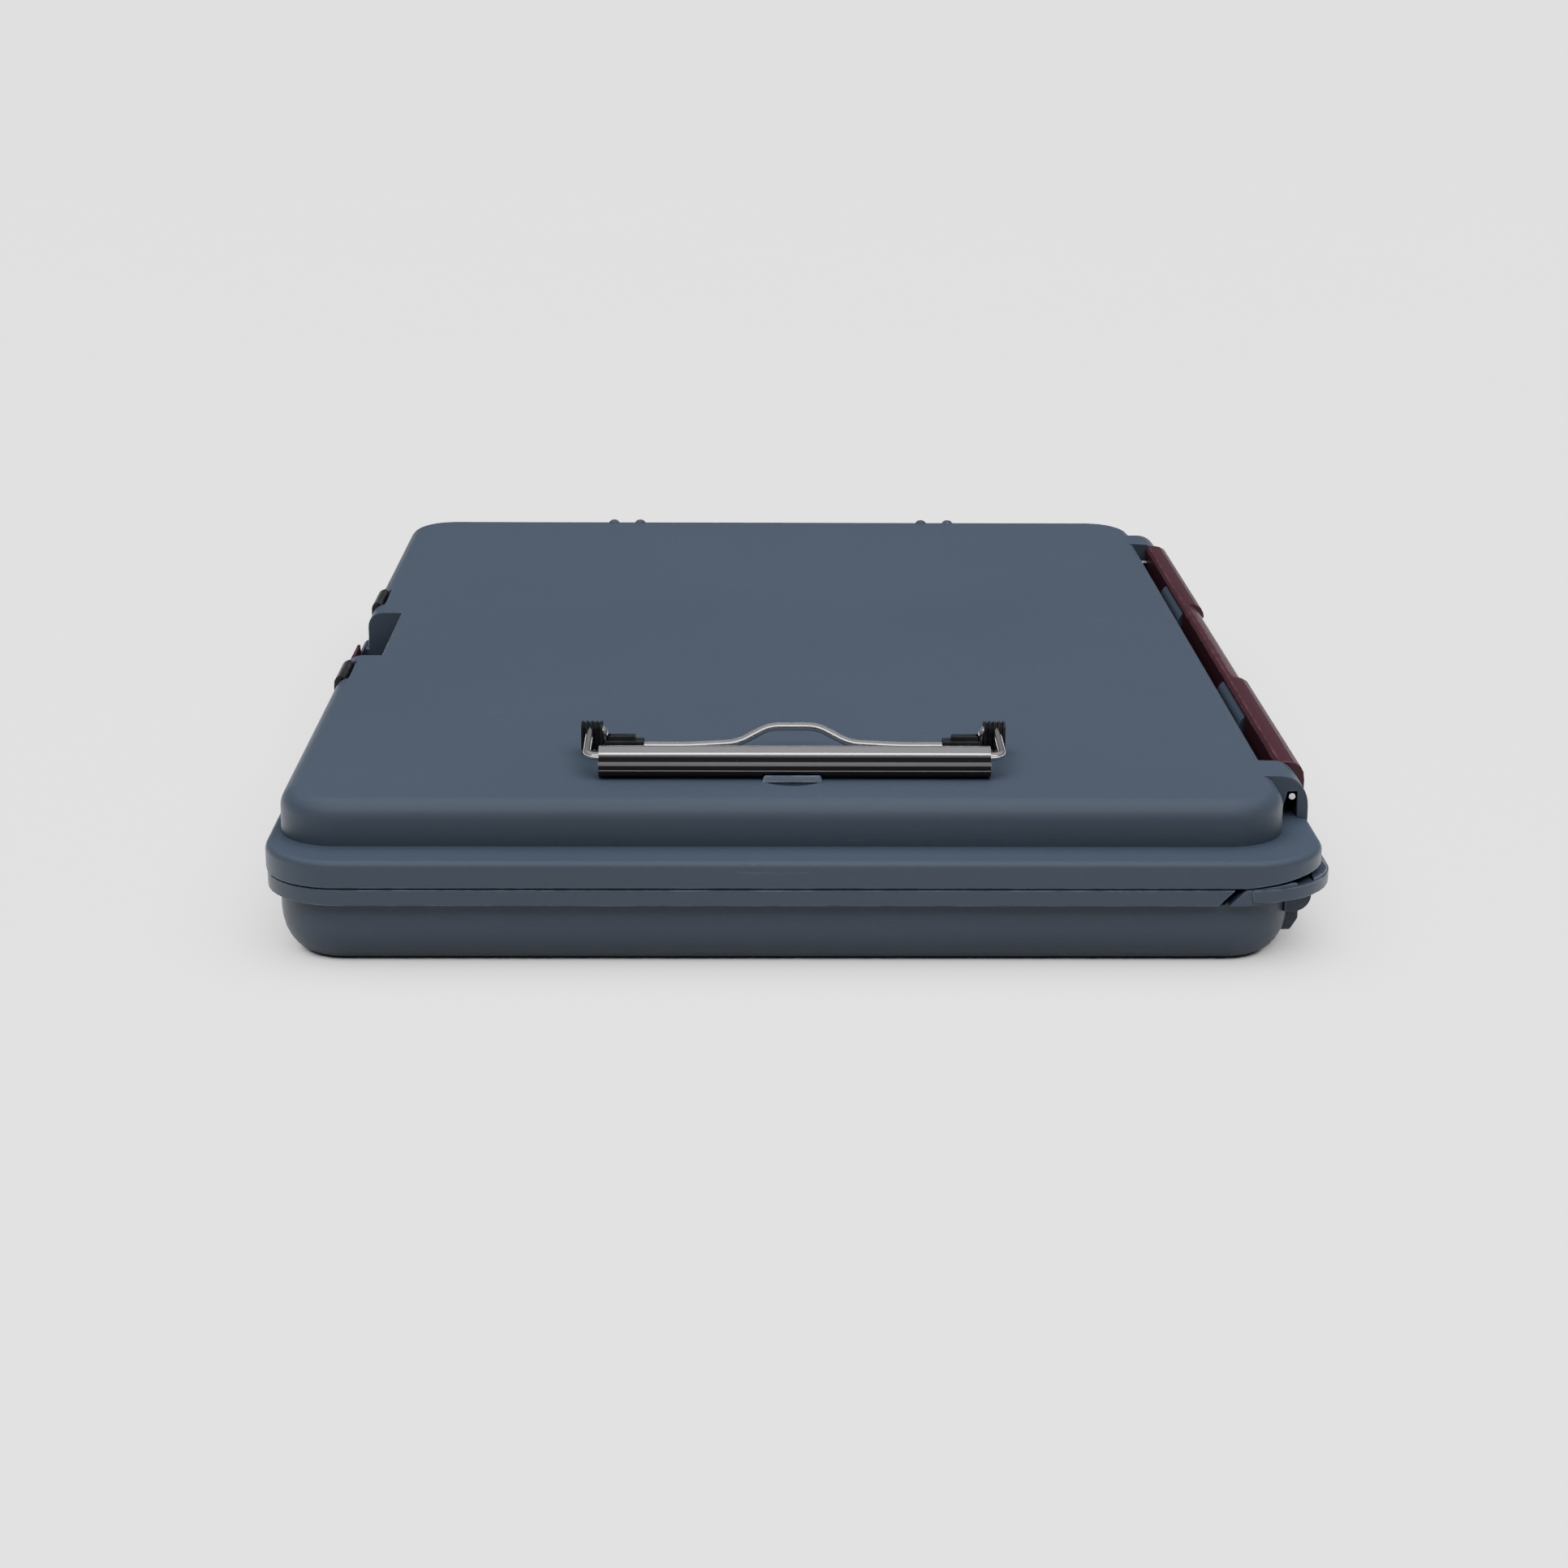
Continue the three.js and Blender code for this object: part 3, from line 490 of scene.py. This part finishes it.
joint = {j["name"]: j for j in frame["joints"]}
roll_axis = Vector(joint["clip_lift"]["pos_m"])
print("the clip swings about", tuple(roll_axis))

# %% [markdown]
# ## The clip's wire
# The wire starts inside the roll, comes out at each end, goes back as an arm, drops, and crosses
# as the bar that presses on the paper, with a raised hump in the middle for a fingertip. It is one
# rod, so it is one piece. All its corners are given from the roll's axis.

# %% Bend the wire
WIRE_RADIUS = 1.05
WIRE_REACH = 2.6
HALF_WIRE = [(41.6, 0, 0), (50.6, 0, 0), (50.6, 20, 1.3), (47.4, 20, 1.3), (46.6, 20, -3.2),
             (26, 20, -3.2), (14, 20.6, -2.7), (6, 23, 1)]
MIRRORED = [(-x, y, z) for x, y, z in reversed(HALF_WIRE)]
wire = bent_rod([roll_axis + Vector(c) * MM for c in HALF_WIRE + MIRRORED],
                WIRE_RADIUS * MM, WIRE_REACH * MM)
hand_over(wire, "bent_clip_wire", "clip_bail", "clip_steel", ["clip_wire"],
          smooth_under=50)

# %% [markdown]
# ## The rolled plate
# The plate is a strip of sheet steel: a flat foot under the rivets, a bend up at the front, and a
# roll that wraps the wire. Sheet metal is modelled best as a sheet. One edge is pushed and spun
# along the strip's section, and the thickness is added at the end by a Solidify modifier.

# %% Roll the plate
SHEET = 0.7
DEBURR = 0.12
ROLL_RADIUS = 2.25
FRONT_BEND = 1.5
FOOT_Z = -4.35
FOOT_REAR = 4.4
FOOT_FRONT = -1.83
LEAN = 70
ROLL_TURN = 190
BEND_STEPS = 10
ROLL_STEPS = 26
DEBURR_OVER = 50
plate_low, plate_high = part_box("clip_plate")


def roll_plate():
    bm = bmesh.new()
    rear = Vector((0, roll_axis.y + FOOT_REAR * MM, roll_axis.z + FOOT_Z * MM))
    ends = [bm.verts.new((x, rear.y, rear.z)) for x in (plate_low.x, plate_high.x)]
    bm.edges.new(ends)
    strip = push(bm, ends, Vector((0, (FOOT_FRONT - FOOT_REAR) * MM, 0)))
    bend = Vector((0, roll_axis.y + FOOT_FRONT * MM, rear.z + FRONT_BEND * MM))
    strip = curl(bm, strip, bend, 180 - LEAN, BEND_STEPS)
    lean = Vector((0, math.cos(math.radians(LEAN)), math.sin(math.radians(LEAN))))
    across = Vector((0, -lean.z, lean.y))
    joining = roll_axis + across * ROLL_RADIUS * MM
    strip = push(bm, strip, lean * (joining - strip[0].co).dot(lean))
    curl(bm, strip, roll_axis, ROLL_TURN, ROLL_STEPS)
    bmesh.ops.recalc_face_normals(bm, faces=bm.faces)
    return bm


def curl(bm, strip, centre, degrees, steps):
    spun = bmesh.ops.spin(bm, geom=ring_edges(strip), cent=centre, axis=(-1, 0, 0),
                          angle=math.radians(degrees), steps=steps)
    return [v for v in spun["geom_last"] if isinstance(v, bmesh.types.BMVert)]


plate = hand_over(roll_plate(), "rolled_clip_plate", "lid", "clip_steel", ["clip_plate"],
                  smooth_under=40, finish="plate_steel")
wall = plate.modifiers.new("sheet_thickness", "SOLIDIFY")
wall.thickness = SHEET * MM
wall.offset = 0
soft = plate.modifiers.new("deburred_edge", "BEVEL")
soft.width = DEBURR * MM
soft.segments = 2
soft.angle_limit = math.radians(DEBURR_OVER)
print("plate is", round((plate_high.x - plate_low.x) / MM, 1), "mm long")

# %% [markdown]
# ## Rubber sleeves and pads
# A ribbed boot stands over each rear corner of the wire and a pad grips the bar beside it. The
# ribs are what a thumb pushes on. Each boot is one block, moulded round the wire, with ribs right
# round it. So one rounded section is extruded along the boot in short steps, alternately wide and
# narrow. The pads need no such detail, so they are copies with rounded edges.

# %% Mould the boots
RIBS = 5
GROOVE = 0.3
SECTION_CORNER = 1.0


def boot(side):
    low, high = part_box("grip_corner_" + side)
    width, depth, height = high - low
    bm = bmesh.new()
    bmesh.ops.create_grid(bm, x_segments=1, y_segments=1, size=0.5)
    groove = GROOVE * MM
    start = Matrix.Translation((low.x, (low.y + high.y) / 2, (low.z + high.z) / 2))
    section = start @ Matrix.Rotation(math.radians(90), 4, "Y")
    size = Matrix.Diagonal((height - 2 * groove, depth - 2 * groove, 1, 1))
    bmesh.ops.transform(bm, verts=bm.verts, matrix=section @ size)
    bmesh.ops.bevel(bm, geom=bm.verts[:], offset=SECTION_CORNER * MM, segments=4, profile=0.5,
                    affect="VERTICES", material=-1)
    centre = (low + high) / 2
    pitch = width / (2 * RIBS - 1)
    face = bm.faces[:][0]
    for slice_index in range(2 * RIBS - 1):
        if slice_index > 0:
            face = lifted(bm, face)
        grow(face, centre, groove if slice_index % 2 == 0 else -groove)
        face = lifted(bm, face)
        bmesh.ops.translate(bm, verts=face.verts, vec=(pitch, 0, 0))
    bmesh.ops.recalc_face_normals(bm, faces=bm.faces)
    return bm


def lifted(bm, face):
    """The new end face after an extrusion that has not been moved yet."""
    made = bmesh.ops.extrude_face_region(bm, geom=[face])["geom"]
    return [f for f in made if isinstance(f, bmesh.types.BMFace)][0]


def grow(face, centre, by):
    """Widen or narrow the end face of a ribbed bar, as a rib's side wall does."""
    for vert in face.verts:
        out = Vector((0, vert.co.y - centre.y, vert.co.z - centre.z)).normalized()
        vert.co += out * by


for side in ("left", "right"):
    hand_over(boot(side), "ribbed_boot_" + side, "clip_bail", "black_rubber",
              ["grip_corner_" + side])

# %% Mould the pads
PAD_EDGE = 0.3
for side in ("left", "right"):
    pad = moulding("grip_pad_" + side)
    round_edges(pad, PAD_EDGE * MM, segments=3)
    keep_inside(pad, "grip_pad_" + side)
    even_shading(hand_over(pad, "bar_pad_" + side, "clip_bail", "black_rubber",
                           ["grip_pad_" + side]))

# %% [markdown]
# ## Pins and rivets
# A rivet has a low domed head, so it is a short arc spun once round its axis. The hinge pins are
# plain drawn wire of a known size and only their ends show, so merged copies of the mechanical
# ones serve, with a steel finish.

# %% Spin the rivets
DOME_STEPS = 6
TURN_STEPS = 28
SAME_POINT = 0.000001


def rivet(side):
    low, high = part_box("clip_rivet_" + side)
    centre = (low + high) / 2
    radius = (high.x - low.x) / 2
    height = high.z - low.z
    bm = bmesh.new()
    rim = [bm.verts.new((centre.x, centre.y, low.z)),
           bm.verts.new((centre.x + radius, centre.y, low.z))]
    for i in range(1, DOME_STEPS + 1):
        angle = math.radians(90 * i / DOME_STEPS)
        rim.append(bm.verts.new((centre.x + radius * math.cos(angle), centre.y,
                                 low.z + height * math.sin(angle))))
    edges = [bm.edges.new(pair) for pair in zip(rim, rim[1:])]
    bmesh.ops.spin(bm, geom=rim + edges, cent=centre, axis=(0, 0, 1), angle=2 * math.pi,
                   steps=TURN_STEPS, use_merge=True)
    bmesh.ops.remove_doubles(bm, verts=bm.verts, dist=SAME_POINT)
    bmesh.ops.recalc_face_normals(bm, faces=bm.faces)
    return bm


for side in ("left", "right"):
    hand_over(rivet(side), "domed_rivet_" + side, "lid", "clip_steel", ["clip_rivet_" + side],
              smooth_under=50)

# %% Draw the pins
PIN_BODIES = {"base_pin": "base", "latch_pin": "base", "lid_pin": "tray"}
for kind, body in PIN_BODIES.items():
    for end in ("front", "rear"):
        node = kind + "_" + end
        rod = moulding(node)
        hand_over(rod, "drawn_" + node, body, "pin_steel", [node], smooth_under=40)

# %% [markdown]
# ## Studio
# The object lies on a plain pale floor. A very soft light from overhead does nearly all the
# lighting, and it is kept out of the reflections. What the steel mirrors is the surroundings:
# grey above, dark low down, and a thin pale haze where the floor ends far away. One long strip
# light in front draws the thin white line along the roll and the wire. Without something dark to
# mirror, bright steel looks like white plastic, and grey plastic seen at a low angle looks washed
# out.

# %% Floor and surroundings
FLOOR_HALF = 100
FLOOR_GREYS = ((0.455, 0.455, 0.46, 1), (0.47, 0.47, 0.47, 1))
CLOUDED = 0.4
LOW_GREY = (0.07, 0.07, 0.08, 1)
HIGH_GREY = (0.42, 0.43, 0.46, 1)
HAZE = (2.3, 2.3, 2.3, 1)


class Sky(Finish):
    """The same node helper, working on the world instead of a material."""

    def __init__(self, world):
        world.use_nodes = True
        self.material = world
        self.tree = world.node_tree
        self.shader = self.tree.nodes["Background"]


floor_mesh = bmesh.new()
bmesh.ops.create_grid(floor_mesh, x_segments=2, y_segments=2, size=FLOOR_HALF)
floor_data = bpy.data.meshes.new("floor")
floor_mesh.to_mesh(floor_data)
floor_mesh.free()
floor = bpy.data.objects.new("floor", floor_data)
bpy.context.scene.collection.objects.link(floor)
paper = Finish("floor_paper", Roughness=0.95, Specular_IOR_Level=0.1)
fibre = paper.noise(paper.place(), CLOUDED, 2)
floor.data.materials.append(paper.surface(Base_Color=paper.mix(fibre, *FLOOR_GREYS)))

world = bpy.data.worlds.new("studio")
bpy.context.scene.world = world
sky = Sky(world)
direction = sky.node("ShaderNodeTexCoord", {}, {}, "Generated")
height = sky.node("ShaderNodeSeparateXYZ", {}, {0: direction}, "Z")
grey_above = sky.mix(sky.ramp(height, 0.1, 0.75), LOW_GREY, HIGH_GREY)
sky.surface(Color=sky.mix(sky.ramp(height, 0.02, 0.05), HAZE, grey_above))
print("floor reaches", FLOOR_HALF, "m each way")

# %% Lights
OVERHEAD_POWER = 17.5
OVERHEAD_SPREAD = 95
STRIP_POWER = 12
STRIP_SIZE = (2.4, 0.26)


def stand(name, data, place, aim):
    light = bpy.data.objects.new(name, data)
    bpy.context.scene.collection.objects.link(light)
    towards = Vector(aim) - Vector(place)
    turn = towards.to_track_quat("-Z", "Y").to_matrix().to_4x4()
    light.matrix_world = Matrix.Translation(place) @ turn
    print(name, "at", place, "aimed at", aim)
    return light


overhead_data = bpy.data.lights.new("overhead", "SUN")
overhead_data.energy = OVERHEAD_POWER
overhead_data.angle = math.radians(OVERHEAD_SPREAD)
overhead = stand("overhead", overhead_data, place=(0, -0.25, 2), aim=(0, 0, 0))
overhead.visible_glossy = False

strip_data = bpy.data.lights.new("front_strip", "AREA")
strip_data.shape = "RECTANGLE"
strip_data.size, strip_data.size_y = STRIP_SIZE
strip_data.energy = STRIP_POWER
stand("front_strip", strip_data, place=(0, -1.15, 1.05), aim=(0, -0.1, 0.04))
